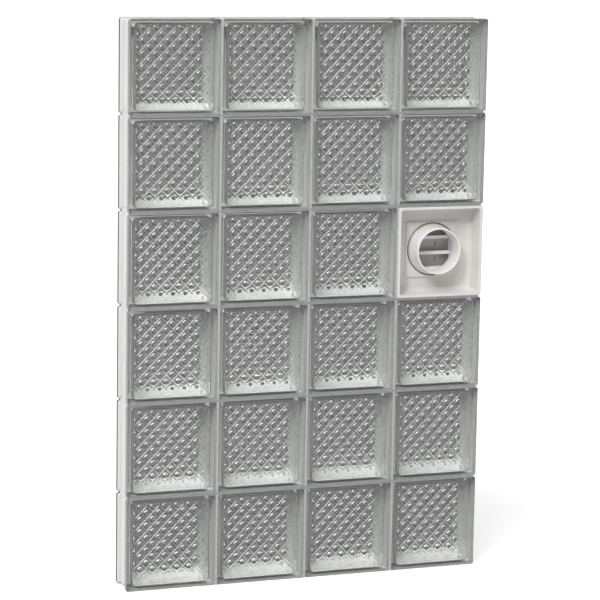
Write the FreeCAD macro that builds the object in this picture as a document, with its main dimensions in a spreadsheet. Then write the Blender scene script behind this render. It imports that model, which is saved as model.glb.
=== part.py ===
"""Glass block window panel: hollow pressed blocks bonded edge to edge, with one dryer vent in place of a block.

Millimetres. X runs along the panel, -Y is the room side, +Y the weather side and +Z is up.
The origin is the middle of the panel's footprint, on the sill.
"""
import FreeCAD, Part
import os
import Sketcher

# Rows from the top, as seen from the room: g is a glass block, v is the vent
LAYOUT = ("gggg", "gggg", "gggv", "gggg", "gggg", "gggg")
ROWS = len(LAYOUT)
COLUMNS = len(LAYOUT[0])
VENT_ROW = next(row for row, line in enumerate(LAYOUT) if "v" in line)
VENT_COLUMN = LAYOUT[VENT_ROW].index("v")
FLAPS = ("top", "middle", "bottom")

# Driving dimensions
SIZES = {
    "block_side": 195.0,
    "block_depth": 79.4,
    "joint_gap": 2.4,
    "corner_radius": 5.0,
    "edge_chamfer": 2.0,
    "lip_depth": 10.0,
    "lip_slope": 4.0,
    "channel_depth": 4.5,
    "seam_width": 3.0,
    "seam_height": 1.0,
    "pane_thickness": 6.0,
    "wall_thickness": 6.5,
    "cavity_radius": 9.0,
    "bead_setback": 0.6,
    "bed_end_gap": 6.0,
    "tray_wall": 6.5,
    "tray_depth": 48.0,
    "tray_corner": 6.0,
    "tray_sweep": 11.0,
    "back_thickness": 3.0,
    "flange_side": 120.0,
    "flange_thickness": 3.0,
    "flange_corner": 5.0,
    "collar_bore": 93.4,
    "collar_outside": 99.4,
    "collar_base": 111.0,
    "collar_flare": 18.0,
    "collar_setback": 5.0,
    "collar_edge": 0.9,
    "louvre_width": 102.0,
    "louvre_pitch": 33.3,
    "louvre_lift": 57.3,
    "louvre_rail": 12.0,
    "louvre_setback": 1.4,
    "bar_height": 7.0,
    "bar_depth": 6.0,
    "bar_inset": 2.0,
    "hinge_setback": 8.0,
    "hinge_drop": 1.0,
    "head_clearance": 7.5,
    "flap_length": 32.5,
    "flap_thickness": 1.8,
    "flap_lip": 2.0,
    "flap_slope": 10.0,
    "flap_side_gap": 2.0,
    "barrel_diameter": 5.0,
    "pin_diameter": 3.6,
    "pin_reach": 6.0,
    "pin_clearance": 0.08,
    "pin_end_gap": 0.4,
}

# Lengths worked out from the driving dimensions
PITCH = "(dims.block_side + dims.joint_gap)"
FRONT = "(-dims.block_depth / 2)"
BACK = "(dims.block_depth / 2)"
CHANNEL_SIDE = "(dims.block_side - 2 * dims.channel_depth)"
CAVITY_SIDE = f"({CHANNEL_SIDE} - 2 * dims.wall_thickness)"
TRAY_OPENING = "(dims.block_side - 2 * dims.tray_wall)"
TRAY_BACK = f"({FRONT} + dims.tray_depth)"
LOUVRE_FRONT = f"({TRAY_BACK} + dims.back_thickness)"
LOUVRE_REAR = f"({BACK} - dims.louvre_setback)"
BAR_FRONT = f"({LOUVRE_FRONT} + dims.bar_inset)"
HINGE_Y = f"({BAR_FRONT} + dims.bar_depth + dims.hinge_setback)"
FIRST_HINGE_Z = "(dims.louvre_lift - dims.hinge_drop)"
OPENING_TOP = f"({FIRST_HINGE_Z} + dims.head_clearance)"
OPENING_BOTTOM = f"(dims.louvre_lift - {len(FLAPS)} * dims.louvre_pitch - dims.bar_height / 2)"

doc = FreeCAD.newDocument("glass_block_panel")
sheet = doc.addObject("Spreadsheet::Sheet", "dims")
for row_number, (alias, size) in enumerate(SIZES.items(), start=1):
    sheet.set(f"A{row_number}", alias)
    sheet.set(f"B{row_number}", str(size))
    sheet.setAlias(f"B{row_number}", alias)
doc.recompute()


def value(expression):
    """The number that an expression over the sheet gives."""
    return float(sheet.evalExpression(expression))


def block_x(column):
    """Centre of a column of blocks."""
    return f"{column - (COLUMNS - 1) / 2} * {PITCH}"


def block_z(row):
    """Centre of a row of blocks, counted from the top."""
    return f"dims.block_side / 2 + {ROWS - 1 - row} * {PITCH}"


def new_body(label, x="0", y="0", z="0"):
    """An empty body, placed by expressions."""
    body = doc.addObject("PartDesign::Body", label)
    body.Label = label
    for axis, expression in (("x", x), ("y", y), ("z", z)):
        body.setExpression(f"Placement.Base.{axis}", expression)
    return body


def new_sketch(body, role, offset="0"):
    """A sketch on one of the body's origin planes, moved along the plane's normal."""
    sketch = body.newObject("Sketcher::SketchObject", "sketch")
    plane = next(feature for feature in body.Origin.OriginFeatures if feature.Role == role)
    sketch.AttachmentSupport = [(plane, "")]
    sketch.MapMode = "FlatFace"
    sketch.setExpression("AttachmentOffset.Base.z", offset)
    return sketch


def bind(sketch, constraint, expression):
    """Add a constraint whose size follows an expression."""
    index = sketch.addConstraint(constraint)
    sketch.setExpression(f"Constraints[{index}]", expression)


def add_outline(sketch, corners):
    """A closed outline of straight lines with both coordinates of every corner bound."""
    points = [FreeCAD.Vector(value(across), value(up), 0) for across, up in corners]
    first = sketch.GeometryCount
    for index, point in enumerate(points):
        sketch.addGeometry(Part.LineSegment(point, points[(index + 1) % len(points)]))
    for index in range(len(points)):
        following = first + (index + 1) % len(points)
        sketch.addConstraint(Sketcher.Constraint("Coincident", first + index, 2, following, 1))
    for index, (across, up) in enumerate(corners):
        line = first + index
        bind(sketch, Sketcher.Constraint("DistanceX", -1, 1, line, 1, points[index].x), across)
        bind(sketch, Sketcher.Constraint("DistanceY", -1, 1, line, 1, points[index].y), up)


def add_box(sketch, left, bottom, right, top):
    """A rectangle given by its four edges."""
    add_outline(sketch, [(left, bottom), (right, bottom), (right, top), (left, top)])


def add_rounded_square(sketch, side, radius):
    """A square about the sketch's origin with rounded corners."""
    half = value(side) / 2
    round_size = value(radius)
    flat = half - round_size
    turns = [(1, 1, 0), (-1, 1, 90), (-1, -1, 180), (1, -1, 270)]
    normal = FreeCAD.Vector(0, 0, 1)
    for across, up, start in turns:
        centre = FreeCAD.Vector(across * flat, up * flat, 0)
        start_angle = FreeCAD.Units.parseQuantity(f"{start} deg").getValueAs("rad").Value
        stop_angle = FreeCAD.Units.parseQuantity(f"{start + 90} deg").getValueAs("rad").Value
        sketch.addGeometry(Part.ArcOfCircle(Part.Circle(centre, normal, round_size), start_angle, stop_angle))
    ends = [
        ((flat, half), (-flat, half)),
        ((-half, flat), (-half, -flat)),
        ((-flat, -half), (flat, -half)),
        ((half, -flat), (half, flat)),
    ]
    for begin, end in ends:
        sketch.addGeometry(Part.LineSegment(FreeCAD.Vector(*begin, 0), FreeCAD.Vector(*end, 0)))
    for corner in range(4):
        sketch.addConstraint(Sketcher.Constraint("Tangent", corner, 2, 4 + corner, 1))
        sketch.addConstraint(Sketcher.Constraint("Tangent", 4 + corner, 2, (corner + 1) % 4, 1))
    for line, direction in ((4, "Horizontal"), (6, "Horizontal"), (5, "Vertical"), (7, "Vertical")):
        sketch.addConstraint(Sketcher.Constraint(direction, line))
    for corner in (1, 2, 3):
        sketch.addConstraint(Sketcher.Constraint("Equal", 0, corner))
    sketch.addConstraint(Sketcher.Constraint("Symmetric", 0, 3, 2, 3, -1, 1))
    bind(sketch, Sketcher.Constraint("Radius", 0, round_size), radius)
    bind(sketch, Sketcher.Constraint("DistanceX", 5, 1, 7, 1, 2 * half), side)
    bind(sketch, Sketcher.Constraint("DistanceY", 6, 1, 4, 1, 2 * half), side)


def add_circle(sketch, diameter, across="0", up="0"):
    """A circle with its centre and diameter bound."""
    centre = FreeCAD.Vector(value(across), value(up), 0)
    circle = sketch.addGeometry(Part.Circle(centre, FreeCAD.Vector(0, 0, 1), value(diameter) / 2))
    bind(sketch, Sketcher.Constraint("Diameter", circle, value(diameter)), diameter)
    bind(sketch, Sketcher.Constraint("DistanceX", -1, 1, circle, 3, centre.x), across)
    bind(sketch, Sketcher.Constraint("DistanceY", -1, 1, circle, 3, centre.y), up)


def extrude(body, kind, sketch, length, symmetric=False, reverse=False):
    """A pad or a pocket of a sketch."""
    feature = body.newObject(f"PartDesign::{kind}", kind.lower())
    feature.Profile = sketch
    feature.SideType = "Symmetric" if symmetric else "One side"
    feature.Reversed = reverse
    feature.setExpression("Length", length)
    body.Tip = feature
    return feature


def edges_at(feature, depth, reach):
    """Names of a feature's edges that lie in a plane of constant Y, no further in than a reach from the outside."""
    names = []
    for number, edge in enumerate(feature.Shape.Edges, start=1):
        box = edge.BoundBox
        in_plane = abs(box.YMin - depth) < 0.01 and abs(box.YMax - depth) < 0.01
        spread = max(abs(box.XMin), abs(box.XMax), abs(box.ZMin), abs(box.ZMax))
        if in_plane and spread > reach:
            names.append(f"Edge{number}")
    return names


def dress(body, kind, base, edges, size_name, size):
    """A fillet or a chamfer on named edges."""
    feature = body.newObject(f"PartDesign::{kind}", kind.lower())
    feature.Base = (base, edges)
    feature.setExpression(size_name, size)
    body.Tip = feature
    return feature


def chamfer_faces(body, base):
    """Break the outer edges of the front and back faces."""
    doc.recompute()
    reach = value("dims.block_side / 2 - dims.corner_radius - 1")
    edges = edges_at(base, value(FRONT), reach) + edges_at(base, value(BACK), reach)
    return dress(body, "Chamfer", base, edges, "Size", "dims.edge_chamfer")


def make_pressed_block():
    """One hollow block: two lips, a channel between them with the fused seam, and a sealed cavity."""
    body = new_body("pressed_block")
    web = new_sketch(body, "XZ_Plane")
    add_rounded_square(web, CHANNEL_SIDE, "dims.corner_radius")
    extrude(body, "Pad", web, "dims.block_depth", symmetric=True)
    seam = new_sketch(body, "XZ_Plane")
    add_rounded_square(seam, f"{CHANNEL_SIDE} + 2 * dims.seam_height", "dims.corner_radius")
    extrude(body, "Pad", seam, "dims.seam_width", symmetric=True)
    for face, inward in ((BACK, False), (FRONT, True)):
        sign = 1 if inward else -1
        plane = f"-({face})"
        lip = new_sketch(body, "XZ_Plane", plane)
        add_rounded_square(lip, "dims.block_side", "dims.corner_radius")
        extrude(body, "Pad", lip, "dims.lip_depth", reverse=inward)
        shoulder = new_sketch(body, "XZ_Plane", f"{plane} - {sign} * dims.lip_depth")
        add_rounded_square(shoulder, "dims.block_side", "dims.corner_radius")
        foot = new_sketch(body, "XZ_Plane", f"{plane} - {sign} * (dims.lip_depth + dims.lip_slope)")
        add_rounded_square(foot, CHANNEL_SIDE, "dims.corner_radius")
        slope = body.newObject("PartDesign::AdditiveLoft", "slope")
        slope.Profile = shoulder
        slope.Sections = [foot]
        slope.Ruled = True
        body.Tip = slope
    chamfer_faces(body, slope)
    cavity = new_sketch(body, "XZ_Plane")
    add_rounded_square(cavity, CAVITY_SIDE, "dims.cavity_radius")
    extrude(body, "Pocket", cavity, "dims.block_depth - 2 * dims.pane_thickness", symmetric=True)
    return body


def make_block(pressed_block, row, column):
    """A copy of the pressed block in its row and column."""
    body = new_body(f"glass_block_r{row + 1}_c{column + 1}", block_x(column), "0", block_z(row))
    copy = body.newObject("PartDesign::FeatureBase", "copy")
    copy.BaseFeature = pressed_block
    body.Tip = copy
    return body


def bead_outline():
    """Section of a joint: a web between the lips that widens into the chamfers at both faces."""
    web = "dims.joint_gap / 2"
    mouth = "(dims.joint_gap / 2 + dims.edge_chamfer - dims.bead_setback)"
    neck = f"({BACK} - dims.edge_chamfer)"
    face = f"({BACK} - dims.bead_setback)"
    right = [(mouth, f"-{face}"), (web, f"-{neck}"), (web, neck), (mouth, face)]
    left = [(f"-{across}", depth) for across, depth in reversed(right)]
    return right + left


def make_bed_joint(number):
    """A level joint under a row of blocks, which stops short of the panel's edges."""
    length = f"{COLUMNS - 1} * {PITCH} + dims.block_side - 2 * dims.bed_end_gap"
    body = new_body(f"bed_joint_{number}", "0", "0", f"{block_z(number - 1)} - {PITCH} / 2")
    sketch = new_sketch(body, "YZ_Plane")
    add_outline(sketch, [(depth, up) for up, depth in bead_outline()])
    extrude(body, "Pad", sketch, length, symmetric=True)
    return body


def make_upright_joint(number):
    """An upright joint to the right of a column, in one length for each row."""
    across = f"{block_x(number - 1)} + {PITCH} / 2"
    body = new_body(f"upright_joint_{number}", across, "0", block_z(ROWS - 1))
    sketch = new_sketch(body, "XY_Plane")
    add_outline(sketch, bead_outline())
    length = "dims.block_side - 2 * (dims.edge_chamfer - dims.bead_setback)"
    pad = extrude(body, "Pad", sketch, length, symmetric=True)
    rows = body.newObject("PartDesign::LinearPattern", "rows")
    rows.Originals = [pad]
    rows.Direction = (sketch, ["N_Axis"])
    rows.Occurrences = ROWS
    rows.setExpression("Length", f"{ROWS - 1} * {PITCH}")
    body.Tip = rows
    return body


def vent_body(label, y="0", lift="0"):
    """A body placed on the axis of the vent."""
    return new_body(label, block_x(VENT_COLUMN), y, f"{block_z(VENT_ROW)} + {lift}")


def make_vent_tray():
    """The moulded box that takes a block's place: a deep tray to the room, a shallow one to the weather."""
    body = vent_body("vent_tray")
    outside = new_sketch(body, "XZ_Plane")
    add_rounded_square(outside, "dims.block_side", "dims.corner_radius")
    box = extrude(body, "Pad", outside, "dims.block_depth", symmetric=True)
    chamfer_faces(body, box)
    room_side = new_sketch(body, "XZ_Plane", f"-{FRONT}")
    add_rounded_square(room_side, TRAY_OPENING, "dims.tray_corner")
    pocket = extrude(body, "Pocket", room_side, "dims.tray_depth")
    doc.recompute()
    floor_edges = edges_at(pocket, value(TRAY_BACK), 0)
    dress(body, "Fillet", pocket, floor_edges, "Radius", "dims.tray_sweep")
    weather_side = new_sketch(body, "XZ_Plane", f"-{BACK}")
    add_rounded_square(weather_side, TRAY_OPENING, "dims.tray_corner")
    depth = f"{BACK} - {LOUVRE_FRONT}"
    extrude(body, "Pocket", weather_side, depth, reverse=True)
    duct = new_sketch(body, "XZ_Plane")
    add_circle(duct, "dims.collar_bore")
    extrude(body, "Pocket", duct, "dims.block_depth", symmetric=True)
    return body


def make_vent_collar():
    """The duct collar: a square flange on the tray's back and a flared pipe towards the room."""
    body = vent_body("vent_collar")
    flange = new_sketch(body, "XZ_Plane", f"-{TRAY_BACK}")
    add_rounded_square(flange, "dims.flange_side", "dims.flange_corner")
    extrude(body, "Pad", flange, "dims.flange_thickness")
    duct = new_sketch(body, "XZ_Plane", f"-{TRAY_BACK}")
    add_circle(duct, "dims.collar_bore")
    extrude(body, "Pocket", duct, "2 * dims.flange_thickness", symmetric=True)
    foot = f"({TRAY_BACK} - dims.flange_thickness)"
    rim = f"({FRONT} + dims.collar_setback)"
    wall = new_sketch(body, "YZ_Plane")
    add_outline(wall, [
        (foot, "dims.collar_bore / 2"),
        (foot, "dims.collar_base / 2"),
        (f"{foot} - dims.collar_flare", "dims.collar_outside / 2"),
        (rim, "dims.collar_outside / 2"),
        (rim, "dims.collar_bore / 2"),
    ])
    pipe = body.newObject("PartDesign::Revolution", "pipe")
    pipe.Profile = wall
    pipe.ReferenceAxis = (wall, ["H_Axis"])
    pipe.Angle = 360
    body.Tip = pipe
    doc.recompute()
    rim_edges = edges_at(pipe, value(rim), 0)
    dress(body, "Fillet", pipe, rim_edges, "Radius", "dims.collar_edge")
    return body


def hinge_z(index):
    """Height of a flap's hinge above the axis of the vent."""
    return f"({FIRST_HINGE_Z} - {index} * dims.louvre_pitch)"


def make_louvre_frame():
    """The weather-side frame: rails, cheeks with pin holes, and a bar in front of each flap's foot."""
    body = vent_body("louvre_frame")
    half = "dims.louvre_width / 2"
    outer = f"({half} + dims.louvre_rail)"
    ring = new_sketch(body, "XZ_Plane", f"-{LOUVRE_FRONT}")
    rail = "dims.louvre_rail"
    add_box(ring, f"-{outer}", f"{OPENING_BOTTOM} - {rail}", outer, f"{OPENING_TOP} + {rail}")
    add_box(ring, f"-{half}", OPENING_BOTTOM, half, OPENING_TOP)
    extrude(body, "Pad", ring, f"{LOUVRE_REAR} - {LOUVRE_FRONT}", reverse=True)
    bars = new_sketch(body, "XZ_Plane", f"-{BAR_FRONT}")
    for index in range(1, len(FLAPS) + 1):
        middle = f"(dims.louvre_lift - {index} * dims.louvre_pitch)"
        low = f"{middle} - dims.bar_height / 2"
        high = f"{middle} + dims.bar_height / 2"
        add_box(bars, f"-{half} - dims.louvre_rail / 2", low, f"{half} + dims.louvre_rail / 2", high)
    extrude(body, "Pad", bars, "dims.bar_depth", reverse=True)
    holes = new_sketch(body, "YZ_Plane")
    for index in range(len(FLAPS)):
        add_circle(holes, "dims.pin_diameter + 2 * dims.pin_clearance", HINGE_Y, hinge_z(index))
    extrude(body, "Pocket", holes, "dims.louvre_width + 2 * dims.pin_reach", symmetric=True)
    return body


def make_flap(index):
    """A louvre flap: a barrel with a pin at each end and a thin plate with a drip lip."""
    body = vent_body(f"louvre_flap_{FLAPS[index]}", HINGE_Y, hinge_z(index))
    body.Placement.Rotation = FreeCAD.Rotation(FreeCAD.Vector(1, 0, 0), value("dims.flap_slope"))
    body.setExpression("Placement.Rotation.Angle", "dims.flap_slope")
    width = "dims.louvre_width - 2 * dims.flap_side_gap"
    half = "dims.flap_thickness / 2"
    tip = "-dims.flap_length"
    plate = new_sketch(body, "YZ_Plane")
    add_outline(plate, [
        (f"-{half}", "0"),
        (f"-{half}", tip),
        (f"{half} + dims.flap_lip", tip),
        (f"{half} + dims.flap_lip", f"{tip} + dims.flap_thickness"),
        (half, f"{tip} + dims.flap_thickness"),
        (half, "0"),
    ])
    extrude(body, "Pad", plate, width, symmetric=True)
    barrel = new_sketch(body, "YZ_Plane")
    add_circle(barrel, "dims.barrel_diameter")
    extrude(body, "Pad", barrel, width, symmetric=True)
    pin = new_sketch(body, "YZ_Plane")
    add_circle(pin, "dims.pin_diameter")
    extrude(body, "Pad", pin, "dims.louvre_width + 2 * (dims.pin_reach - dims.pin_end_gap)", symmetric=True)
    return body


pressed_block = make_pressed_block()
pieces = []
for row in range(ROWS):
    for column in range(COLUMNS):
        if LAYOUT[row][column] == "g":
            pieces.append(make_block(pressed_block, row, column))
pieces += [make_bed_joint(number) for number in range(1, ROWS)]
pieces += [make_upright_joint(number) for number in range(1, COLUMNS)]
pieces += [make_vent_tray(), make_vent_collar(), make_louvre_frame()]
pieces += [make_flap(index) for index in range(len(FLAPS))]
doc.recompute()

# Every object has to be sound before anything is written
for item in doc.Objects:
    if "Invalid" in item.State or "Error" in item.State:
        raise RuntimeError(f"{item.Label} failed: {item.State}")
for piece in pieces:
    if piece.Shape.isNull() or not piece.Shape.isValid():
        raise RuntimeError(f"{piece.Label} has no valid shape")

os.makedirs("parts", exist_ok=True)
for piece in pieces:
    piece.Shape.exportStep(f"parts/{piece.Label}.step")
    print(piece.Label, len(piece.Shape.Solids), "solid", round(piece.Shape.Volume))
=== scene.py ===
"""Glass block window panel with a dryer vent: looks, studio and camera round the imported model."""
import math

import bmesh
import bpy
from mathutils import Matrix, Vector


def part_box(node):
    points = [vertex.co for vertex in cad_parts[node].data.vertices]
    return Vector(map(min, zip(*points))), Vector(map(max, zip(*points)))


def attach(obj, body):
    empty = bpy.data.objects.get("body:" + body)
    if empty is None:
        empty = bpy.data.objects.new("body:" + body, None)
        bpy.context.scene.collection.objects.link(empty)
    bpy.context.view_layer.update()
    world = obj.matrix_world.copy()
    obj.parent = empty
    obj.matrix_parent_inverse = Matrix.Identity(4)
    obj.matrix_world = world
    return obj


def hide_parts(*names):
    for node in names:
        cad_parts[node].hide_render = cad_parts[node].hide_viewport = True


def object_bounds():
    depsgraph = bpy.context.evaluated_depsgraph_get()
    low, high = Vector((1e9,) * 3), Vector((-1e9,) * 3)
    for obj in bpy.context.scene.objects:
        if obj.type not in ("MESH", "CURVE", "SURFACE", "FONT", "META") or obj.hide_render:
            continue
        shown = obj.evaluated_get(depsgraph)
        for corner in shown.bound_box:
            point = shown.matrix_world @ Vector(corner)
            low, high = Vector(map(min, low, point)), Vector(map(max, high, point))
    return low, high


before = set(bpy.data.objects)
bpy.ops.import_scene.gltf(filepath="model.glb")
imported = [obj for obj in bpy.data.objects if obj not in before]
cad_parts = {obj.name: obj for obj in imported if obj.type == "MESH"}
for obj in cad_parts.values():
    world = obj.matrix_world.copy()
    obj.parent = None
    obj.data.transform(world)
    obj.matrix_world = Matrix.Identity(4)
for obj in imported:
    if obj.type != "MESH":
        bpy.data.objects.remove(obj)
cad_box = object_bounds()


# Glass blocks. Each is a hollow square of clear glass: two halves pressed with a diamond relief on the
# inside of their panes and fused at a seam half way through. The recessed edge between the lips is coated
# white. Faces have two tones: the one seen from inside the glass is painted darker or paler than the
# outside one, painted light and shade inside the block.
BLOCK_NODES = sorted(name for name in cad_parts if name.startswith("glass_block_"))
BLOCK_LOW, BLOCK_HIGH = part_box(BLOCK_NODES[0])
BLOCK_HALF = (BLOCK_HIGH.x - BLOCK_LOW.x) / 2
BLOCK_FACE = (BLOCK_HIGH.y - BLOCK_LOW.y) / 2
BLOCK_CORNER = 0.005
BLOCK_SHARP_ANGLE = math.radians(38)
FACE_MARGIN = 0.0006
LIP_ROUND = 0.0026
LIP_DEPTH = 0.010
LIP_SLOPE = 0.004
LIP_END_LENGTH = 0.0008
LIP_END_DROP = 0.0005
ROUND_STEPS = 4
CHANNEL_DEPTH = 0.0045
CHANNEL_CORNER = 0.004
SEAM_HALF = 0.0015
SEAM_HEIGHT = 0.001
PANE_THICKNESS = 0.006
SIDE_WALL = 0.009
LEVEL_WALL = 0.0045
WALL_STEPS = 6
CAVITY_CORNER = 0.009
CAVITY_FILLET = 0.0025
CAVITY_DRAFT = 0.002
CAVITY_FLOOR_RISE = 0.012
CAVITY_WIDTH = BLOCK_HALF - CHANNEL_DEPTH - SIDE_WALL
CAVITY_HEIGHT = BLOCK_HALF - CHANNEL_DEPTH - LEVEL_WALL
CAVITY_FACE = BLOCK_FACE - PANE_THICKNESS
FIELD_CORNER_CUT = 0.006
RIDGE_SPACING = 0.0188
RIDGE_HALF_WIDTH = 0.0012
RIDGE_HEIGHT = 0.0009
RIDGE_SHOULDER = 0.55
DOME_RADIUS = 0.0062
DOME_HEIGHT = 0.0034
DOME_SIDES = 16
DOME_SHARES = (0.35, 0.7, 1.0)
RELIEF_BORDER = 0.003
MERGE_DISTANCE = 0.00002
CUT_TOLERANCE = 1e-6

# The room pane is pressed less deep in front of the hollow's floor and right wall, the two pale strips.
STRIP_WIDTH = 0.024
STRIP_START = 0.75
STRIP_RELIEF = 0.5

# The order of the materials on a block, and how far a face has to look up, or aside, to take one of them.
# The faces that look up or to the left take paler tones: painted light from above and from the left.
(ROOM_GLASS, COATING, REAR_GLASS, COATED_WALL, LIP_SIDE, REAR_LIP, COATED_FLOOR_LIT, LIT_SIDE_COATING,
 REAR_RELIEF, REAR_SLOPE) = range(10)
REAR_FLOOR_TILT = 0.7
ROOM_FLOOR_TILT = 0.9
LIT_SIDE_TILT = 0.5

# Two shades for the outside of each face, and the tone that it shows from inside the glass, painted lighter
# or darker as painted light and shade.
# Painted light and shade: the lips are glass, given opaque grey washes for the look of their glass under
# the light.
LIP_COLOR = (0.32, 0.325, 0.32, 1)
LIP_SHADE = (0.27, 0.275, 0.27, 1)
LIP_INSIDE = (0.25, 0.255, 0.25, 1)
# Painted shade: the rear lip is far darker than the room lip, on the side away from the light.
REAR_LIP_COLOR = (0.12, 0.122, 0.12, 1)
REAR_LIP_SHADE = (0.09, 0.092, 0.09, 1)
REAR_LIP_INSIDE = (0.17, 0.172, 0.17, 1)
WALL_COLOR = (0.46, 0.465, 0.455, 1)
WALL_SHADE = (0.40, 0.405, 0.395, 1)
WALL_INSIDE = (0.78, 0.785, 0.775, 1)
# Painted light: the hollow's floor is paler than its walls, as lit from above.
HOLLOW_FLOOR_LIT_COLOR = (0.60, 0.605, 0.59, 1)
HOLLOW_FLOOR_LIT_SHADE = (0.53, 0.535, 0.52, 1)
COATING_COLOR = (0.72, 0.725, 0.715, 1)
COATING_SHADE = (0.65, 0.655, 0.645, 1)
COATING_INSIDE = (0.44, 0.445, 0.435, 1)
# Painted light: the coating on the top and left sides is paler from inside the glass.
LIT_SIDE_INSIDE = (0.88, 0.885, 0.875, 1)
# Painted shade: the rear lip's slope takes a darker copy of the edge coating.
SLOPE_COLOR = (0.62, 0.625, 0.615, 1)
SLOPE_SHADE = (0.56, 0.565, 0.555, 1)
WASH_GLOSS = 0.1
GLASS_COLOR = (0.94, 0.947, 0.943, 1)
# Painted shade: the rear pane is tinted dark, darkest from the room side, for a dim view through the
# blocks.
REAR_PAINTED_SHADE = (0.12, 0.12, 0.118, 1)
REAR_OUTSIDE_PAINTED_SHADE = (0.56, 0.563, 0.557, 1)
GLASS_IOR = 1.52
ROUGHNESS_ENDS = (0.3, 0.7)
SHADE_ENDS = (0.32, 0.68)


def node_material(name):
    """A new material with an empty node tree but for its shader and output."""
    material = bpy.data.materials.new(name)
    material.use_nodes = True
    return material, material.node_tree.nodes, material.node_tree.links


def add_noise(nodes, links, scale, detail, stretch=(1, 1, 1)):
    """A noise texture on the piece's own coordinates, which are the frame's."""
    place = nodes.new("ShaderNodeTexCoord")
    spread = nodes.new("ShaderNodeMapping")
    spread.inputs["Scale"].default_value = stretch
    noise = nodes.new("ShaderNodeTexNoise")
    noise.inputs["Scale"].default_value = scale
    noise.inputs["Detail"].default_value = detail
    links.new(place.outputs["Object"], spread.inputs["Vector"])
    links.new(spread.outputs["Vector"], noise.inputs["Vector"])
    return noise.outputs["Fac"]


def vary_roughness(nodes, links, pattern, low, high):
    """Roughness between two ends, from a texture."""
    spread = nodes.new("ShaderNodeMapRange")
    spread.inputs["From Min"].default_value = ROUGHNESS_ENDS[0]
    spread.inputs["From Max"].default_value = ROUGHNESS_ENDS[1]
    spread.inputs["To Min"].default_value = low
    spread.inputs["To Max"].default_value = high
    links.new(pattern, spread.inputs["Value"])
    links.new(spread.outputs["Result"], nodes["Principled BSDF"].inputs["Roughness"])


def vary_color(nodes, links, pattern, first, second):
    """Base colour between two close shades, from a texture."""
    ramp = nodes.new("ShaderNodeValToRGB")
    for element, position, color in zip(ramp.color_ramp.elements, SHADE_ENDS, (first, second)):
        element.position = position
        element.color = color
    links.new(pattern, ramp.inputs["Fac"])
    links.new(ramp.outputs["Color"], nodes["Principled BSDF"].inputs["Base Color"])


def tone_inside(nodes, links, color):
    """Another base colour for the side of the face that is seen from inside the glass: painted light and
    shade.
    """
    shader = nodes["Principled BSDF"]
    face = nodes.new("ShaderNodeNewGeometry")
    tone = nodes.new("ShaderNodeMixRGB")
    tone.inputs["Color1"].default_value = shader.inputs["Base Color"].default_value
    tone.inputs["Color2"].default_value = color
    for link in shader.inputs["Base Color"].links:
        links.new(link.from_socket, tone.inputs["Color1"])
    links.new(face.outputs["Backfacing"], tone.inputs["Fac"])
    links.new(tone.outputs["Color"], shader.inputs["Base Color"])


def add_bump(nodes, links, height, distance, strength):
    """A bump on the shader, from a texture's height."""
    bump = nodes.new("ShaderNodeBump")
    bump.inputs["Distance"].default_value = distance
    bump.inputs["Strength"].default_value = strength
    links.new(height, bump.inputs["Height"])
    links.new(bump.outputs["Normal"], nodes["Principled BSDF"].inputs["Normal"])


def let_lamps_through(nodes, links, tint):
    """Let lamplight pass straight through the glass, so that it reaches the hollow."""
    light = nodes.new("ShaderNodeLightPath")
    clear = nodes.new("ShaderNodeBsdfTransparent")
    clear.inputs["Color"].default_value = tint
    mix = nodes.new("ShaderNodeMixShader")
    links.new(light.outputs["Is Shadow Ray"], mix.inputs["Fac"])
    links.new(nodes["Principled BSDF"].outputs["BSDF"], mix.inputs[1])
    links.new(clear.outputs["BSDF"], mix.inputs[2])
    links.new(mix.outputs["Shader"], nodes["Material Output"].inputs["Surface"])


def make_pressed_glass(name, color, inside):
    """Clear glass with the slow waves of a pressed and fire-polished face.

    Light crosses two faces of a pane, so each tints lamplight by the root of the darker tone.
    """
    material, nodes, links = node_material(name)
    shader = nodes["Principled BSDF"]
    shader.inputs["Base Color"].default_value = color
    shader.inputs["Transmission Weight"].default_value = 1
    shader.inputs["IOR"].default_value = GLASS_IOR
    waves = add_noise(nodes, links, scale=30, detail=1)
    vary_roughness(nodes, links, waves, low=0.0, high=0.012)
    add_bump(nodes, links, waves, distance=0.0004, strength=0.3)
    if inside != color:
        tone_inside(nodes, links, inside)
    let_lamps_through(nodes, links, [math.sqrt(min(parts)) for parts in zip(color, inside)])
    return material


def make_edge_coating(name, shade, color, inside):
    """White coating on the block's edges, with faint streaks along them."""
    material, nodes, links = node_material(name)
    streaks = add_noise(nodes, links, scale=260, detail=3, stretch=(1, 1, 0.05))
    grain = add_noise(nodes, links, scale=900, detail=2)
    vary_color(nodes, links, streaks, shade, color)
    vary_roughness(nodes, links, grain, low=0.28, high=0.45)
    add_bump(nodes, links, grain, distance=0.0002, strength=0.35)
    tone_inside(nodes, links, inside)
    return material


def make_wash(name, shade, color, inside):
    """A thin wash of the coating, as it shows through glass: cloudy and smooth, its greys painted light and
    shade.
    """
    material, nodes, links = node_material(name)
    clouds = add_noise(nodes, links, scale=40, detail=2)
    vary_color(nodes, links, clouds, shade, color)
    tone_inside(nodes, links, inside)
    nodes["Principled BSDF"].inputs["Specular IOR Level"].default_value = WASH_GLOSS
    vary_roughness(nodes, links, clouds, low=0.1, high=0.2)
    add_bump(nodes, links, clouds, distance=0.0004, strength=0.3)
    return material


def rounded_box(half_width, half_height, radius, bottom_rise=0, segments=5):
    """Points (x, z) round a box with rounded corners, anticlockwise as seen from the room."""
    points = []
    for quarter, (side, end) in enumerate(((1, 1), (-1, 1), (-1, -1), (1, -1))):
        middle_x = side * (half_width - radius)
        middle_z = end * (half_height - radius) + (bottom_rise if end < 0 else 0)
        for step in range(segments + 1):
            angle = (quarter + step / segments) * math.pi / 2
            points.append((middle_x + radius * math.cos(angle), middle_z + radius * math.sin(angle)))
    return points


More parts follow.
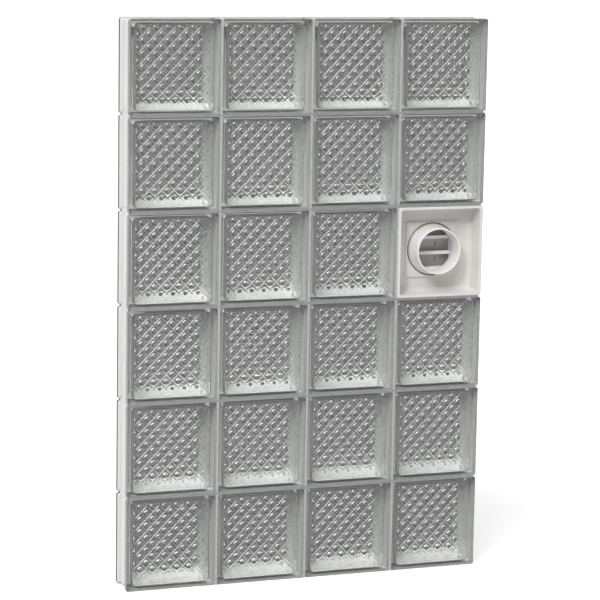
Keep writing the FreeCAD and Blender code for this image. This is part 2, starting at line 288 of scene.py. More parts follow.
def loft(mesh, rings, material_index=0):
    """Skin a row of rings, each a list of vertices, with quads."""
    for ring, following in zip(rings, rings[1:]):
        count = len(ring)
        for index in range(count):
            after = (index + 1) % count
            face = mesh.faces.new((ring[index], ring[after], following[after], following[index]))
            face.material_index = material_index
            face.smooth = True


def add_ring(mesh, half_width, half_height, radius, y, bottom_rise=0):
    """A ring of vertices on a rounded box, at one depth."""
    return [mesh.verts.new((x, y, z)) for x, z in rounded_box(half_width, half_height, radius, bottom_rise)]


def make_relief_tile():
    """One diamond of the relief, flat before it is turned: a dome with half a ridge along each side."""
    half = RIDGE_SPACING / 2
    tile = bmesh.new()

    def square_ring(reach, height):
        """A ring on a square of that half size, with a point for each side of the dome."""
        ring = []
        for index in range(DOME_SIDES):
            angle = index / DOME_SIDES * 2 * math.pi
            stretch = reach / max(abs(math.cos(angle)), abs(math.sin(angle)))
            ring.append(tile.verts.new((stretch * math.cos(angle), stretch * math.sin(angle), height)))
        return ring

    def round_ring(share):
        """A ring on the dome, at a share of its radius."""
        reach = DOME_RADIUS * share
        height = DOME_HEIGHT * (1 - share ** 2)
        ring = []
        for index in range(DOME_SIDES):
            angle = index / DOME_SIDES * 2 * math.pi
            ring.append(tile.verts.new((reach * math.cos(angle), reach * math.sin(angle), height)))
        return ring

    rings = [round_ring(share) for share in DOME_SHARES]
    rings.append(square_ring(half - RIDGE_HALF_WIDTH, 0))
    rings.append(square_ring(half - RIDGE_HALF_WIDTH / 2, RIDGE_HEIGHT * RIDGE_SHOULDER))
    rings.append(square_ring(half, RIDGE_HEIGHT))
    middle = tile.verts.new((0, 0, DOME_HEIGHT))
    for index in range(DOME_SIDES):
        tile.faces.new((middle, rings[0][index], rings[0][(index + 1) % DOME_SIDES]))
    for inner, outer in zip(rings, rings[1:]):
        for index in range(DOME_SIDES):
            after = (index + 1) % DOME_SIDES
            tile.faces.new((inner[index], outer[index], outer[after], inner[after]))
    for face in tile.faces:
        face.smooth = True
    data = bpy.data.meshes.new("relief_tile")
    tile.to_mesh(data)
    tile.free()
    return data


def make_relief_tree(glass):
    """Geometry Nodes: tiles in a grid, turned by 45 degrees, stood up and faded at the field's edge."""
    tree = bpy.data.node_groups.new("pressed_relief", "GeometryNodeTree")
    tree.is_modifier = True
    tree.interface.new_socket("Geometry", in_out="INPUT", socket_type="NodeSocketGeometry")
    sizes = ("Spacing", "Field Width", "Field Height", "Field Drop", "Border")
    for name in sizes + ("Strip Width", "Strip Relief"):
        tree.interface.new_socket(name, in_out="INPUT", socket_type="NodeSocketFloat")
    tree.interface.new_socket("Cells", in_out="INPUT", socket_type="NodeSocketInt")
    tree.interface.new_socket("Geometry", in_out="OUTPUT", socket_type="NodeSocketGeometry")
    nodes, links = tree.nodes, tree.links
    given = nodes.new("NodeGroupInput")
    result = nodes.new("NodeGroupOutput")

    def add_math(operation, *values):
        """One step of arithmetic, on numbers or on other nodes' results."""
        node = nodes.new("ShaderNodeMath")
        node.operation = operation
        for index, value in enumerate(values):
            if isinstance(value, (int, float)):
                node.inputs[index].default_value = value
            else:
                links.new(value, node.inputs[index])
        return node.outputs[0]

    span = add_math("MULTIPLY", given.outputs["Spacing"], add_math("SUBTRACT", given.outputs["Cells"], 1))
    grid = nodes.new("GeometryNodeMeshGrid")
    links.new(span, grid.inputs["Size X"])
    links.new(span, grid.inputs["Size Y"])
    links.new(given.outputs["Cells"], grid.inputs["Vertices X"])
    links.new(given.outputs["Cells"], grid.inputs["Vertices Y"])
    laid = nodes.new("GeometryNodeInstanceOnPoints")
    links.new(grid.outputs["Mesh"], laid.inputs["Points"])
    links.new(given.outputs["Geometry"], laid.inputs["Instance"])
    joined = nodes.new("GeometryNodeRealizeInstances")
    links.new(laid.outputs["Instances"], joined.inputs["Geometry"])
    merged = nodes.new("GeometryNodeMergeByDistance")
    merged.inputs["Distance"].default_value = MERGE_DISTANCE
    links.new(joined.outputs["Geometry"], merged.inputs["Geometry"])
    stood = nodes.new("GeometryNodeTransform")
    stood.inputs["Rotation"].default_value = (math.pi / 2, math.pi / 4, 0)
    links.new(merged.outputs["Geometry"], stood.inputs["Geometry"])

    place = nodes.new("GeometryNodeInputPosition")
    parts = nodes.new("ShaderNodeSeparateXYZ")
    links.new(place.outputs["Position"], parts.inputs["Vector"])
    beside = add_math("SUBTRACT", given.outputs["Field Width"], add_math("ABSOLUTE", parts.outputs["X"]))
    above = add_math("SUBTRACT", given.outputs["Field Height"], parts.outputs["Z"])
    below = add_math("ADD", given.outputs["Field Drop"], parts.outputs["Z"])
    margin = add_math("MINIMUM", beside, add_math("MINIMUM", above, below))
    fade = nodes.new("ShaderNodeMapRange")
    fade.interpolation_type = "SMOOTHSTEP"
    links.new(margin, fade.inputs["Value"])
    links.new(given.outputs["Border"], fade.inputs["From Max"])
    right = add_math("SUBTRACT", given.outputs["Field Width"], parts.outputs["X"])
    strip = nodes.new("ShaderNodeMapRange")
    strip.interpolation_type = "SMOOTHSTEP"
    links.new(add_math("MINIMUM", right, below), strip.inputs["Value"])
    links.new(add_math("MULTIPLY", given.outputs["Strip Width"], STRIP_START), strip.inputs["From Min"])
    links.new(given.outputs["Strip Width"], strip.inputs["From Max"])
    links.new(given.outputs["Strip Relief"], strip.inputs["To Min"])
    pressed = add_math("MULTIPLY", parts.outputs["Y"], strip.outputs["Result"])
    height = add_math("MULTIPLY", pressed, fade.outputs["Result"])
    spot = nodes.new("ShaderNodeCombineXYZ")
    links.new(parts.outputs["X"], spot.inputs["X"])
    links.new(height, spot.inputs["Y"])
    links.new(parts.outputs["Z"], spot.inputs["Z"])
    faded = nodes.new("GeometryNodeSetPosition")
    links.new(stood.outputs["Geometry"], faded.inputs["Geometry"])
    links.new(spot.outputs["Vector"], faded.inputs["Position"])
    finished = nodes.new("GeometryNodeSetMaterial")
    finished.inputs["Material"].default_value = glass
    links.new(faded.outputs["Geometry"], finished.inputs["Geometry"])
    links.new(finished.outputs["Geometry"], result.inputs["Geometry"])
    return tree


def press_relief(tree, field_width, field_height, field_drop, strip_relief):
    """The relief of one pane as a plain mesh."""
    holder = bpy.data.objects.new("relief_tile", make_relief_tile())
    bpy.context.scene.collection.objects.link(holder)
    sizes = {"Spacing": RIDGE_SPACING, "Field Width": field_width, "Field Height": field_height,
             "Field Drop": field_drop, "Border": RELIEF_BORDER,
             "Strip Width": STRIP_WIDTH, "Strip Relief": strip_relief,
             "Cells": 2 * math.ceil(field_height * math.sqrt(2) / RIDGE_SPACING)}
    modifier = holder.modifiers.new("relief", "NODES")
    modifier.node_group = tree
    for item in tree.interface.items_tree:
        if item.in_out == "INPUT" and item.name in sizes:
            modifier[item.identifier] = sizes[item.name]
    seen = holder.evaluated_get(bpy.context.evaluated_depsgraph_get())
    data = bpy.data.meshes.new_from_object(seen)
    bpy.data.objects.remove(holder)
    return data


def cut_to_field(relief, field_width, field_height, field_drop):
    """Trim the relief to a box, lower side given apart, with its corners cut off."""
    sides = [((1, 0), field_width), ((-1, 0), field_width), ((0, 1), field_height), ((0, -1), field_drop)]
    for side in (1, -1):
        for end, reach in ((1, field_height), (-1, field_drop)):
            sides.append(((side, end), field_width + reach - FIELD_CORNER_CUT))
    for (x, z), reach in sides:
        outward = Vector((x, 0, z))
        geometry = relief.verts[:] + relief.edges[:] + relief.faces[:]
        on_side = outward * reach / outward.length_squared
        bmesh.ops.bisect_plane(relief, geom=geometry, dist=CUT_TOLERANCE, plane_co=on_side,
                               plane_no=outward, clear_outer=True)


def add_pane(block, tree, side, field_width, field_height, field_drop, material_index):
    """Add a pane's inside with its relief, rear (side 1) or room (side -1), and give its outer edges."""
    pane = bmesh.new()
    strip_relief = STRIP_RELIEF if side < 0 else 1
    data = press_relief(tree, field_width, field_height, field_drop, strip_relief)
    pane.from_mesh(data)
    cut_to_field(pane, field_width, field_height, field_drop)
    for vert in pane.verts:
        vert.co.y = side * (vert.co.y + CAVITY_FACE)
    if side < 0:
        bmesh.ops.reverse_faces(pane, faces=pane.faces[:])
    pane.to_mesh(data)
    pane.free()
    known = set(block.faces)
    block.from_mesh(data)
    added = [face for face in block.faces if face not in known]
    for face in added:
        face.material_index = material_index
        face.smooth = True
    return [edge for face in added for edge in face.edges if edge.is_boundary]


def make_block_hollow(glass):
    """The inside of one block about its own middle: two panes with relief, and the walls between."""
    block = bmesh.new()
    tree = make_relief_tree(glass)
    room_width, room_height = CAVITY_WIDTH - CAVITY_FILLET, CAVITY_HEIGHT - CAVITY_FILLET
    rear_width, rear_height = room_width - CAVITY_DRAFT, room_height - CAVITY_DRAFT
    room_edges = add_pane(block, tree, -1, room_width, room_height, room_height, ROOM_GLASS)
    rear_drop = rear_height - CAVITY_FLOOR_RISE
    rear_edges = add_pane(block, tree, 1, rear_width, rear_height, rear_drop, REAR_RELIEF)
    fillet = [step / ROUND_STEPS * math.pi / 2 for step in range(1, ROUND_STEPS + 1)]
    room_rings = []
    rear_rings = []
    for angle in fillet:
        inset = CAVITY_FILLET * (1 - math.sin(angle))
        y = CAVITY_FACE - CAVITY_FILLET * (1 - math.cos(angle))
        corner = CAVITY_CORNER - inset
        room_rings.append(add_ring(block, CAVITY_WIDTH - inset, CAVITY_HEIGHT - inset, corner, -y))
        rear_inset = CAVITY_DRAFT + inset
        rear_rings.append(add_ring(block, CAVITY_WIDTH - rear_inset, CAVITY_HEIGHT - rear_inset, corner, y,
                                   CAVITY_FLOOR_RISE))
    wall = [room_rings[-1]]
    for step in range(WALL_STEPS):
        share = step / WALL_STEPS
        y = share * (CAVITY_FACE - CAVITY_FILLET)
        draft = CAVITY_DRAFT * share ** 2
        wall.append(add_ring(block, CAVITY_WIDTH - draft, CAVITY_HEIGHT - draft, CAVITY_CORNER, y,
                             CAVITY_FLOOR_RISE * share ** 2))
    wall.append(rear_rings[-1])
    loft(block, room_rings[::-1], ROOM_GLASS)
    loft(block, wall[1::-1], ROOM_GLASS)
    loft(block, wall[:0:-1], COATED_WALL)
    loft(block, rear_rings, REAR_RELIEF)
    panes = ((room_edges, room_rings[0], ROOM_GLASS), (rear_edges, rear_rings[0], REAR_RELIEF))
    for edges, ring, index in panes:
        ring = set(ring)
        ring_edges = [edge for vert in ring for edge in vert.link_edges if edge.other_vert(vert) in ring]
        bridged = bmesh.ops.bridge_loops(block, edges=edges + list(set(ring_edges)))
        for face in bridged["faces"]:
            face.smooth = True
            face.material_index = index
    bmesh.ops.recalc_face_normals(block, faces=block.faces[:])
    bmesh.ops.reverse_faces(block, faces=block.faces[:])
    # Faces that look up take the floor's painted light.
    for face in block.faces:
        at_rear = face.material_index == COATED_WALL
        if face.normal.z > (REAR_FLOOR_TILT if at_rear else ROOM_FLOOR_TILT):
            face.material_index = COATED_FLOOR_LIT
    return block


def add_block_outside(block):
    """Add the outside of the block: two faces with rounded lips, and the channel with its seam between.

    On the top and left sides the coating is painted paler as seen through the glass: painted light from the
    upper left.
    """
    profile = [(BLOCK_HALF - LIP_ROUND - FACE_MARGIN, BLOCK_CORNER, -BLOCK_FACE)]
    for step in range(ROUND_STEPS + 1):
        angle = step / ROUND_STEPS * math.pi / 2
        profile.append((BLOCK_HALF - LIP_ROUND * (1 - math.sin(angle)), BLOCK_CORNER,
                        -BLOCK_FACE + LIP_ROUND * (1 - math.cos(angle))))
    lip_end = -BLOCK_FACE + LIP_DEPTH
    profile.append((BLOCK_HALF, BLOCK_CORNER, lip_end - LIP_END_LENGTH))
    profile.append((BLOCK_HALF - LIP_END_DROP, BLOCK_CORNER, lip_end))
    channel = [(BLOCK_HALF - CHANNEL_DEPTH, CHANNEL_CORNER, lip_end + LIP_SLOPE),
               (BLOCK_HALF - CHANNEL_DEPTH, CHANNEL_CORNER, -SEAM_HALF),
               (BLOCK_HALF - CHANNEL_DEPTH + SEAM_HEIGHT, CHANNEL_CORNER, -SEAM_HALF / 3)]
    room_lip = [add_ring(block, half, half, corner, y) for half, corner, y in profile]
    room_channel = [add_ring(block, half, half, corner, y) for half, corner, y in channel]
    rear_channel = [add_ring(block, half, half, corner, -y) for half, corner, y in channel[::-1]]
    rear_lip = [add_ring(block, half, half, corner, -y) for half, corner, y in profile[::-1]]
    loft(block, room_lip[2::-1], ROOM_GLASS)
    loft(block, [room_channel[0]] + room_lip[:1:-1], LIP_SIDE)
    loft(block, (room_channel + rear_channel)[::-1], COATING)
    loft(block, [rear_lip[0], rear_channel[-1]], REAR_SLOPE)
    loft(block, rear_lip[2::-1], REAR_LIP)
    loft(block, rear_lip[:1:-1], REAR_GLASS)
    block.faces.new(room_lip[0]).material_index = ROOM_GLASS
    block.faces.new(rear_lip[-1][::-1]).material_index = REAR_GLASS
    for face in block.faces:
        face.normal_update()
        # Coating that faces up or to the left takes the painted light.
        facing_light = max(face.normal.z, -face.normal.x) > LIT_SIDE_TILT
        if face.material_index == COATING and facing_light:
            face.material_index = LIT_SIDE_COATING


def add_piece(name, data):
    """Put a finished mesh in the scene as an object of its own."""
    piece = bpy.data.objects.new(name, data)
    bpy.context.scene.collection.objects.link(piece)
    return piece


pressed_glass = make_pressed_glass("pressed_glass", GLASS_COLOR, GLASS_COLOR)
# The rear pane and its relief carry the painted shade, darker from the room side.
rear_glass = make_pressed_glass("pressed_glass_rear", REAR_OUTSIDE_PAINTED_SHADE, REAR_PAINTED_SHADE)
rear_relief = make_pressed_glass("pressed_glass_relief", REAR_PAINTED_SHADE, REAR_OUTSIDE_PAINTED_SHADE)
coated_wall = make_wash("coated_wall", WALL_SHADE, WALL_COLOR, WALL_INSIDE)
coated_floor = make_wash("coated_floor", HOLLOW_FLOOR_LIT_SHADE, HOLLOW_FLOOR_LIT_COLOR, WALL_INSIDE)
lip_side = make_wash("lip_side", LIP_SHADE, LIP_COLOR, LIP_INSIDE)
rear_lip = make_wash("rear_lip", REAR_LIP_SHADE, REAR_LIP_COLOR, REAR_LIP_INSIDE)
edge_coating = make_edge_coating("edge_coating", COATING_SHADE, COATING_COLOR, COATING_INSIDE)
lit_side_coating = make_edge_coating("edge_coating_thick", COATING_SHADE, COATING_COLOR, LIT_SIDE_INSIDE)
slope_coating = make_edge_coating("edge_coating_slope", SLOPE_SHADE, SLOPE_COLOR, REAR_LIP_INSIDE)
block_shape = make_block_hollow(pressed_glass)
add_block_outside(block_shape)
block_mesh = bpy.data.meshes.new("pressed_block")
block_shape.to_mesh(block_mesh)
block_shape.free()
for material in (pressed_glass, edge_coating, rear_glass, coated_wall, lip_side, rear_lip, coated_floor,
                 lit_side_coating, rear_relief, slope_coating):
    block_mesh.materials.append(material)
block_mesh.set_sharp_from_angle(angle=BLOCK_SHARP_ANGLE)
for node in BLOCK_NODES:
    low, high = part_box(node)
    block = block_mesh.copy()
    block.transform(Matrix.Translation((low + high) / 2))
    piece = add_piece(node.replace("glass_block", "pressed_block"), block)
    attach(piece, "panel")
    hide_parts(node)


# Joints. Strips of translucent grey-white silicone, gunned between the blocks and tooled just below their
# faces. The level ones are painted darker than the upright ones: painted shade, as if shaded by the block
# lips above them. White sealant is wiped into the notches where the level ones end at the panel's sides.
UPRIGHT_COLOR = (0.44, 0.445, 0.445, 1)
UPRIGHT_SHADE = (0.37, 0.375, 0.375, 1)
# Painted shade: the level joints are darker than the upright ones, as if shaded by the lips above them.
BED_SHADOWED_COLOR = (0.27, 0.272, 0.285, 1)
BED_SHADOWED_SHADE = (0.22, 0.222, 0.235, 1)
SEAL_COLOR = (0.72, 0.725, 0.72, 1)
SEAL_SHADE = (0.64, 0.645, 0.64, 1)
SEAL_CLEARANCE = 0.00015
SEAL_TURN = math.radians(55)
SEAL_STEPS = 5
SEAL_SHARP_ANGLE = math.radians(35)
LEFT_COLUMN, RIGHT_COLUMN = 1, 4
ROWS = 6


def make_silicone(name, shade, color):
    """Satin silicone with the slight waves and smears of a tooled bead."""
    material, nodes, links = node_material(name)
    smears = add_noise(nodes, links, scale=55, detail=3)
    vary_color(nodes, links, smears, shade, color)
    vary_roughness(nodes, links, smears, low=0.25, high=0.42)
    add_bump(nodes, links, smears, distance=0.0006, strength=0.3)
    return material


def dress(name, material):
    """Give a carried-over node one material."""
    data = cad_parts[name].data
    data.materials.clear()
    data.materials.append(material)


def add_end_seal(seals, side, upper, lower):
    """Sealant at one end of a level joint, up to the rounded corners of the blocks over and under it."""
    top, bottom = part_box(upper)[0].z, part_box(lower)[1].z
    middle = (top + bottom) / 2
    corner_x = cad_box[1].x - CHANNEL_DEPTH - CHANNEL_CORNER
    corner_z = (top - bottom) / 2 + CHANNEL_DEPTH + CHANNEL_CORNER
    radius = CHANNEL_CORNER + SEAL_CLEARANCE
    turns = [step / SEAL_STEPS * SEAL_TURN for step in range(SEAL_STEPS + 1)]
    rise = [(corner_x + radius * math.sin(turn), corner_z - radius * math.cos(turn)) for turn in turns]
    outline = rise + [(x, -z) for x, z in reversed(rise)]
    reach = BLOCK_FACE - LIP_DEPTH - LIP_SLOPE
    ends = []
    for y in (-reach, reach):
        ends.append([seals.verts.new((side * x, y, middle + z)) for x, z in outline])
    loft(seals, ends)
    for end in ends:
        seals.faces.new(end)


upright_silicone = make_silicone("upright_silicone", UPRIGHT_SHADE, UPRIGHT_COLOR)
bed_silicone = make_silicone("bed_silicone", BED_SHADOWED_SHADE, BED_SHADOWED_COLOR)
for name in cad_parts:
    if name.startswith("upright_joint_"):
        dress(name, upright_silicone)
    if name.startswith("bed_joint_"):
        dress(name, bed_silicone)
seal_shape = bmesh.new()
for column, side in ((LEFT_COLUMN, -1), (RIGHT_COLUMN, 1)):
    for row in range(1, ROWS):
        pair = [f"glass_block_r{number}_c{column}" for number in (row, row + 1)]
        if all(node in BLOCK_NODES for node in pair):
            add_end_seal(seal_shape, side, *pair)
bmesh.ops.recalc_face_normals(seal_shape, faces=seal_shape.faces[:])
seal_mesh = bpy.data.meshes.new("joint_end_seals")
seal_shape.to_mesh(seal_mesh)
seal_shape.free()
seal_mesh.set_sharp_from_angle(angle=SEAL_SHARP_ANGLE)
seal_mesh.materials.append(make_silicone("end_sealant", SEAL_SHADE, SEAL_COLOR))
seal_piece = add_piece("joint_end_seals", seal_mesh)
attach(seal_piece, "panel")


# Vent tray. A deep box of warm white plastic, injection moulded, in the place of one block. Its lips line
# up with the blocks' faces and its walls sweep into the back. Silicone holds it as it holds the blocks.
PLASTIC_COLOR = (0.70, 0.682, 0.66, 1)
PLASTIC_SHADE = (0.64, 0.622, 0.60, 1)


def make_plastic(name, shade, color):
    """Satin moulded plastic: slow changes of shade and a fine grain."""
    material, nodes, links = node_material(name)
    clouds = add_noise(nodes, links, scale=14, detail=2)
    grain = add_noise(nodes, links, scale=700, detail=2)
    vary_color(nodes, links, clouds, shade, color)
    vary_roughness(nodes, links, grain, low=0.36, high=0.5)
    add_bump(nodes, links, grain, distance=0.0002, strength=0.25)
    return material


vent_plastic = make_plastic("vent_plastic", PLASTIC_SHADE, PLASTIC_COLOR)
dress("vent_tray", vent_plastic)


# Duct collar. A moulded plastic piece on the tray's back: a square flange and a pipe that a dryer hose
# slides over. The pipe's foot stands in a round recess of the flange, whose floor is painted near black: a
# painted shadow in the narrow dark gap round it.
COLLAR_COLOR = (0.80, 0.785, 0.755, 1)
COLLAR_SHADE = (0.74, 0.725, 0.695, 1)
# Painted shadow: the recess floor round the pipe's foot is near black.
GAP_SHADOW_COLOR = (0.17, 0.16, 0.15, 1)
GAP_SHADOW_SHADE = (0.13, 0.12, 0.11, 1)
COLLAR_LOW, COLLAR_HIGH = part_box("vent_collar")
VENT_AXIS = (COLLAR_LOW + COLLAR_HIGH) / 2
FLANGE_HALF = (COLLAR_HIGH.x - COLLAR_LOW.x) / 2
FLANGE_CORNER = 0.005
FLANGE_THICKNESS = 0.003
FLANGE_EDGE = 0.0008
FLANGE_EDGE_SHARE = 0.3
CORNER_TURNS = (-1.7, -0.7, 0.7, 1.7)
RECESS_RADIUS = 0.0574
RECESS_DEPTH = 0.0028
RECESS_EDGE = 0.0003
FOOT_RADIUS = 0.0547
PIPE_RADIUS = 0.0497
PIPE_BORE = 0.0467
PIPE_FLARE = 0.018
PIPE_EDGE = 0.0013
PIPE_SIDES = 80
FLARE_STEPS = 8
EDGE_STEPS = 4
COLLAR_SHARP_ANGLE = math.radians(35)
FLANGE_PLASTIC, PIPE_PLASTIC, GAP_SHADOW = range(3)


def flange_reach(angle, half, corner):
    """Distance from the middle of a rounded square to its outline, in a direction."""
    across, up = abs(math.cos(angle)), abs(math.sin(angle))
    flat = half - corner
    reach = half / max(across, up)
    if min(across, up) * reach > flat:
        slant = (across + up) * flat
        reach = slant + math.sqrt(slant ** 2 - 2 * flat ** 2 + corner ** 2)
    return reach


def make_collar():
    """The collar's skin, turned about its axis, with square rings for the flange."""
    turns = [step / PIPE_SIDES * 2 * math.pi for step in range(PIPE_SIDES)]
    for quarter in range(4):
        corner = (quarter + 0.5) * math.pi / 2
        turns += [corner + math.radians(aside) for aside in CORNER_TURNS]
    turns.sort()
    face = COLLAR_HIGH.y - FLANGE_THICKNESS
    rim = COLLAR_LOW.y
    collar = bmesh.new()

    def ring(reaches, y):
        """A ring about the vent's axis, at a distance for each turn."""
        verts = []
        for reach, turn in zip(reaches, turns):
            x = VENT_AXIS.x + reach * math.cos(turn)
            z = VENT_AXIS.z + reach * math.sin(turn)
            verts.append(collar.verts.new((x, y, z)))
        return verts

    def square(half, y):
        """A ring on the flange's rounded square."""
        return ring([flange_reach(turn, half, FLANGE_CORNER) for turn in turns], y)

    def circle(radius, y):
        """A ring on the pipe, or on the recess round it."""
        return ring([radius] * len(turns), y)

    rings = [square(FLANGE_HALF, COLLAR_HIGH.y), square(FLANGE_HALF, face + FLANGE_EDGE)]
    bevel = FLANGE_EDGE * FLANGE_EDGE_SHARE
    rings.append(square(FLANGE_HALF - bevel, face + bevel))
    rings.append(square(FLANGE_HALF - FLANGE_EDGE, face))
    rings.append(circle(RECESS_RADIUS + RECESS_EDGE, face))
    rings.append(circle(RECESS_RADIUS, face + RECESS_EDGE))
    rings.append(circle(RECESS_RADIUS, face + RECESS_DEPTH))
    shadow_start = len(rings) - 1
    rings.append(circle(FOOT_RADIUS, face + RECESS_DEPTH))
    shadow_end = len(rings) - 1
    for step in range(FLARE_STEPS + 1):
        share = step / FLARE_STEPS
        ease = share * share * (3 - 2 * share)
        rings.append(circle(FOOT_RADIUS + (PIPE_RADIUS - FOOT_RADIUS) * ease, face - PIPE_FLARE * share))
    for edge, towards in ((PIPE_RADIUS, -1), (PIPE_BORE, 1)):
        steps = range(EDGE_STEPS + 1)
        for step in steps if towards < 0 else reversed(steps):
            angle = step / EDGE_STEPS * math.pi / 2
            rings.append(circle(edge + towards * PIPE_EDGE * (1 - math.cos(angle)),
                                rim + PIPE_EDGE * (1 - math.sin(angle))))
    rings.append(circle(PIPE_BORE, COLLAR_HIGH.y))
    loft(collar, rings[:shadow_start + 1], FLANGE_PLASTIC)
    # The recess floor between these rings takes the painted shadow.
    loft(collar, rings[shadow_start:shadow_end + 1], GAP_SHADOW)
    loft(collar, rings[shadow_end:], PIPE_PLASTIC)
    loft(collar, [rings[-1], rings[0]], FLANGE_PLASTIC)
    bmesh.ops.recalc_face_normals(collar, faces=collar.faces[:])
    data = bpy.data.meshes.new("duct_collar")
    collar.to_mesh(data)
    collar.free()
    data.set_sharp_from_angle(angle=COLLAR_SHARP_ANGLE)
    return data


collar_mesh = make_collar()
collar_mesh.materials.append(vent_plastic)
collar_mesh.materials.append(make_plastic("collar_plastic", COLLAR_SHADE, COLLAR_COLOR))
collar_mesh.materials.append(make_plastic("collar_gap", GAP_SHADOW_SHADE, GAP_SHADOW_COLOR))
collar_piece = add_piece("duct_collar", collar_mesh)
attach(collar_piece, "panel")
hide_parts("vent_collar")


# Louvre frame. The weather-side frame of cool white plastic, moulded in one piece with level bars in front
# of the flaps' feet. It is fixed to the tray's back, and its cheeks hold the flaps' pins.
LOUVRE_COLOR = (0.80, 0.795, 0.835, 1)
LOUVRE_SHADE = (0.75, 0.745, 0.785, 1)
dress("louvre_frame", make_plastic("louvre_plastic", LOUVRE_SHADE, LOUVRE_COLOR))


# Louvre flaps. Thin moulded plates of plastic, coloured mid-grey, which hang from pins at their top edges
# and swing out when the dryer blows. A small rib stiffens each on the room side and turns with it; the rib
# is a darker copy of the flap's plastic, a painted shade.
FLAP_COLOR = (0.46, 0.455, 0.415, 1)
FLAP_SHADE = (0.40, 0.395, 0.36, 1)
# Painted shade: the rib is a darker copy of its flap's plastic.
RIB_SHADED_COLOR = (0.34, 0.335, 0.305, 1)
RIB_SHADED_SHADE = (0.29, 0.285, 0.26, 1)
RIB_WIDTH = 0.0024
RIB_HEIGHT = 0.011
RIB_DEPTH = 0.0012
RIB_OFFSET = 0.017
RIB_DROP = 0.015
RIB_EDGE = 0.0005
BARREL_RADIUS = 0.0025
FLAP_HALF_THICKNESS = 0.0009
FLAP_SLOPE = math.radians(10)


def make_rib(flap):
    """A rounded rib half way down the flap's room face, right of its middle, set from the hinge."""
    low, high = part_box(flap)
    hinge = Vector(((low.x + high.x) / 2, low.y + BARREL_RADIUS, high.z - BARREL_RADIUS))
    rib = bmesh.new()
    bmesh.ops.create_cube(rib, size=1)
    bmesh.ops.scale(rib, verts=rib.verts[:], vec=(RIB_WIDTH, 2 * RIB_DEPTH, RIB_HEIGHT))
    bmesh.ops.bevel(rib, geom=rib.edges[:], offset=RIB_EDGE, segments=2, affect="EDGES")
    slope = Matrix.Rotation(FLAP_SLOPE, 4, "X")
    on_flap = Matrix.Translation((RIB_OFFSET, -FLAP_HALF_THICKNESS, -RIB_DROP))
    rib.transform(Matrix.Translation(hinge) @ slope @ on_flap)
    for face in rib.faces:
        face.smooth = True
    data = bpy.data.meshes.new(flap.replace("louvre_flap", "flap_rib"))
    rib.to_mesh(data)
    rib.free()
    return data


flap_plastic = make_plastic("flap_plastic", FLAP_SHADE, FLAP_COLOR)
rib_plastic = make_plastic("rib_plastic", RIB_SHADED_SHADE, RIB_SHADED_COLOR)
for flap in sorted(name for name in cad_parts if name.startswith("louvre_flap_")):
    dress(flap, flap_plastic)
    rib_mesh = make_rib(flap)
    rib_mesh.materials.append(rib_plastic)
    rib_piece = add_piece(rib_mesh.name, rib_mesh)
    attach(rib_piece, flap.replace("louvre_", ""))


# Studio. A wide pale floor and a sky that is dimmer near the horizon. A broad sun lights the front, a small
# softbox gives the highlights, and a wide lamp far behind lights the blocks through their rear panes. The
# camera stands at the photograph's angle.
FLOOR_HALF = 60.0
FLOOR_DROP = 0.0005
FLOOR_COLOR = (0.88, 0.88, 0.88, 1)
FLOOR_ROUGHNESS = 0.9
FLOOR_LIFT = 0.35
SKY_LOW, SKY_HIGH = 0.06, 0.6
SKY_LOW_END, SKY_HIGH_END = 0.1, 0.8
PANEL_MIDDLE = (cad_box[0] + cad_box[1]) / 2
SUN_FROM = Vector((-0.6, -0.75, 1.0))
SUN_STRENGTH = 1.9
SUN_SPREAD = math.radians(40)
SOFTBOX_PLACE = Vector((-1.6, -2.2, 2.6))
SOFTBOX_SIDE = 0.35
SOFTBOX_POWER = 30
BACKLIGHT_PLACE = Vector((-0.5, 10.0, 2.7))
BACKLIGHT_WIDTH, BACKLIGHT_HEIGHT = 6.0, 2.8
BACKLIGHT_POWER = 150
CAMERA_AZIMUTH = math.radians(-20.49)
CAMERA_ELEVATION = math.radians(9.0)
CAMERA_ROLL = math.radians(0.98)
CAMERA_DISTANCE = 5.2236
CAMERA_LENS = 150.28
CAMERA_FAR_END = 200
CAMERA_ASIDE, CAMERA_LIFT = -0.01991, 0.00731


def make_floor_material():
    """Pale floor that the camera, gloss and glass see as plain white, but for the panel's shadow on it."""
    material, nodes, links = node_material("studio_floor")
    shader = nodes["Principled BSDF"]
    shader.inputs["Base Color"].default_value = FLOOR_COLOR
    shader.inputs["Roughness"].default_value = FLOOR_ROUGHNESS
    light = nodes.new("ShaderNodeLightPath")
    seen = light.outputs["Is Camera Ray"]
    for ray in ("Is Glossy Ray", "Is Transmission Ray"):
        either = nodes.new("ShaderNodeMath")
        either.operation = "MAXIMUM"
        links.new(seen, either.inputs[0])
        links.new(light.outputs[ray], either.inputs[1])
        seen = either.outputs[0]
    lift = nodes.new("ShaderNodeMath")
    lift.operation = "MULTIPLY"
    lift.inputs[1].default_value = FLOOR_LIFT
    links.new(seen, lift.inputs[0])
    links.new(lift.outputs[0], shader.inputs["Emission Strength"])
    shader.inputs["Emission Color"].default_value = (1, 1, 1, 1)
    return material


def light_sky():
    """A grey sky that brightens from near the horizon upwards."""
    world = bpy.data.worlds.new("studio")
    bpy.context.scene.world = world
    world.use_nodes = True
    nodes, links = world.node_tree.nodes, world.node_tree.links
    sky = nodes["Background"]
    sky.inputs["Strength"].default_value = 1
    place = nodes.new("ShaderNodeTexCoord")
    parts = nodes.new("ShaderNodeSeparateXYZ")
    ramp = nodes.new("ShaderNodeMapRange")
    ramp.inputs["From Min"].default_value = SKY_LOW_END
    ramp.inputs["From Max"].default_value = SKY_HIGH_END
    ramp.inputs["To Min"].default_value = SKY_LOW
    ramp.inputs["To Max"].default_value = SKY_HIGH
    links.new(place.outputs["Generated"], parts.inputs["Vector"])
    links.new(parts.outputs["Z"], ramp.inputs["Value"])
    links.new(ramp.outputs["Result"], sky.inputs["Color"])


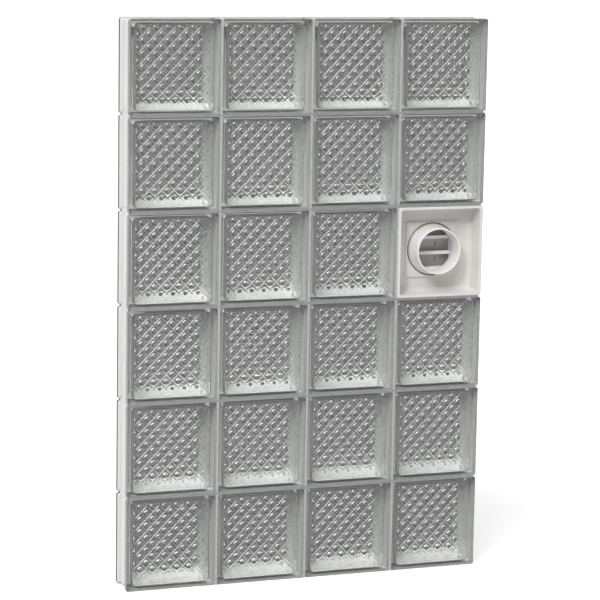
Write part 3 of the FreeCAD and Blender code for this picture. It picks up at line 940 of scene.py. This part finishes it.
def add_lamp(name, kind, power, place):
    """A lamp at a place, which looks at the panel's middle."""
    data = bpy.data.lights.new(name, kind)
    data.energy = power
    lamp = bpy.data.objects.new(name, data)
    lamp.location = place
    lamp.rotation_euler = (PANEL_MIDDLE - place).to_track_quat("-Z", "Y").to_euler()
    bpy.context.scene.collection.objects.link(lamp)
    return data


floor_mesh = bpy.data.meshes.new("floor")
corners = [(-FLOOR_HALF, -FLOOR_HALF, 0), (FLOOR_HALF, -FLOOR_HALF, 0),
           (FLOOR_HALF, FLOOR_HALF, 0), (-FLOOR_HALF, FLOOR_HALF, 0)]
floor_mesh.from_pydata(corners, [], [(0, 1, 2, 3)])
floor_mesh.materials.append(make_floor_material())
floor = bpy.data.objects.new("floor", floor_mesh)
floor.location.z = -FLOOR_DROP
bpy.context.scene.collection.objects.link(floor)

light_sky()
sun = add_lamp("key", "SUN", SUN_STRENGTH, PANEL_MIDDLE + SUN_FROM)
sun.angle = SUN_SPREAD
softbox = add_lamp("softbox", "AREA", SOFTBOX_POWER, SOFTBOX_PLACE)
softbox.size = SOFTBOX_SIDE
backlight = add_lamp("backlight", "AREA", BACKLIGHT_POWER, BACKLIGHT_PLACE)
backlight.shape = "RECTANGLE"
backlight.size = BACKLIGHT_WIDTH
backlight.size_y = BACKLIGHT_HEIGHT

target = Vector((CAMERA_ASIDE, cad_box[0].y, PANEL_MIDDLE.z + CAMERA_LIFT))
back = Vector((math.sin(CAMERA_AZIMUTH) * math.cos(CAMERA_ELEVATION),
               -math.cos(CAMERA_AZIMUTH) * math.cos(CAMERA_ELEVATION), math.sin(CAMERA_ELEVATION)))
level = Vector((math.cos(CAMERA_AZIMUTH), math.sin(CAMERA_AZIMUTH), 0))
right = math.cos(CAMERA_ROLL) * level + math.sin(CAMERA_ROLL) * back.cross(level)
camera_data = bpy.data.cameras.new("camera")
camera_data.lens = CAMERA_LENS
camera_data.clip_end = CAMERA_FAR_END
camera = bpy.data.objects.new("camera", camera_data)
turn = Matrix((right, back.cross(right), back)).transposed().to_4x4()
camera.matrix_world = Matrix.Translation(target + back * CAMERA_DISTANCE) @ turn
bpy.context.scene.collection.objects.link(camera)
bpy.context.scene.camera = camera
bpy.context.scene.view_settings.view_transform = "Standard"
